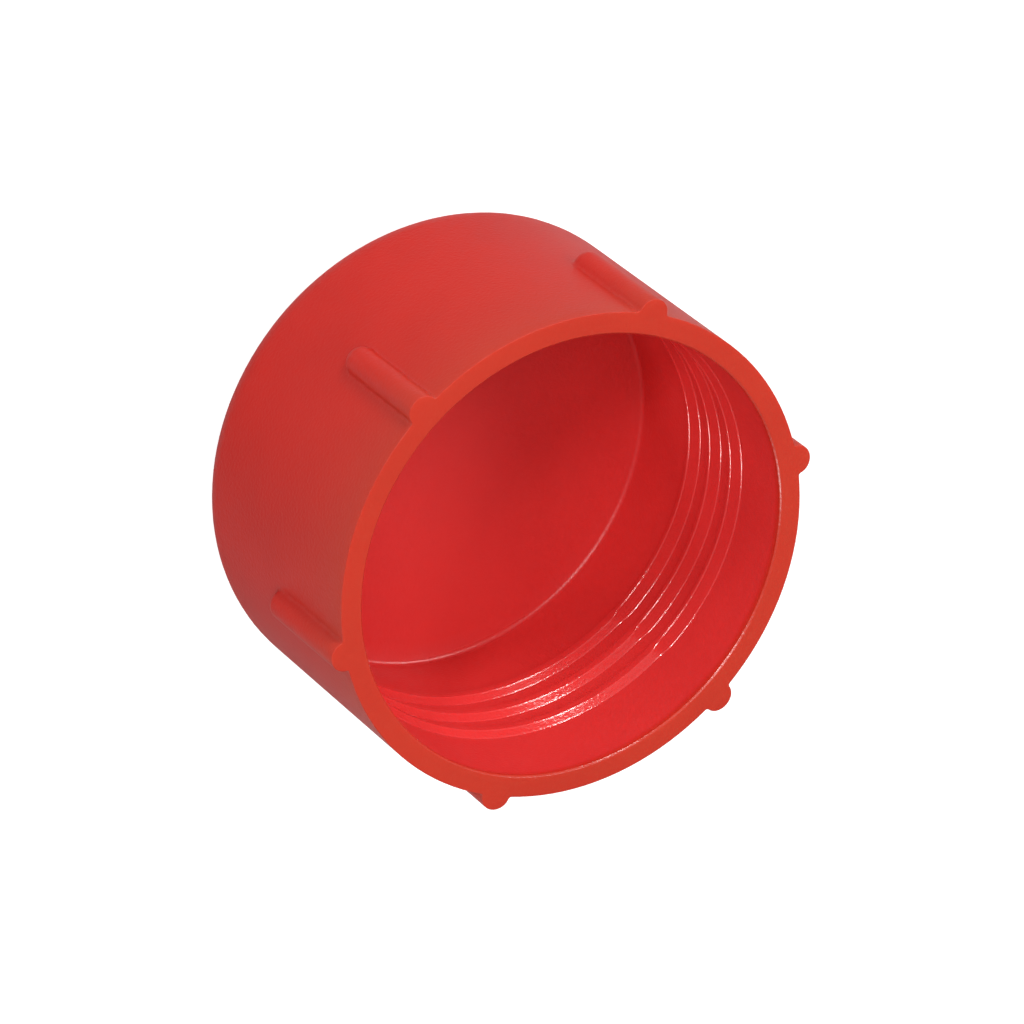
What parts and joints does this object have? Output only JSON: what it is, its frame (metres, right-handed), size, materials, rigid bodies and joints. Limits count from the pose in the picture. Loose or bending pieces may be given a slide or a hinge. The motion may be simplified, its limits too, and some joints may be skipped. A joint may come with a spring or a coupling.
{
  "type": "threaded protection cap",
  "caption": "Round moulded plastic cap with a closed end, a shallow internal thread and grip ribs, screwed over a threaded male port or pipe end to keep dirt out.",
  "frame": {"origin": "centre of the closed end's outer face, on the cap's axis", "axes": "+Z along the axis, out of the mouth; +X through the crest of one grip rib"},
  "size_m": [0.0244, 0.023, 0.0136],
  "materials": {
    "cap": "satin, as moulded in low-density polyethylene"
  },
  "bodies": {
    "root": {"cap": "cap"}
  },
  "joints": []
}
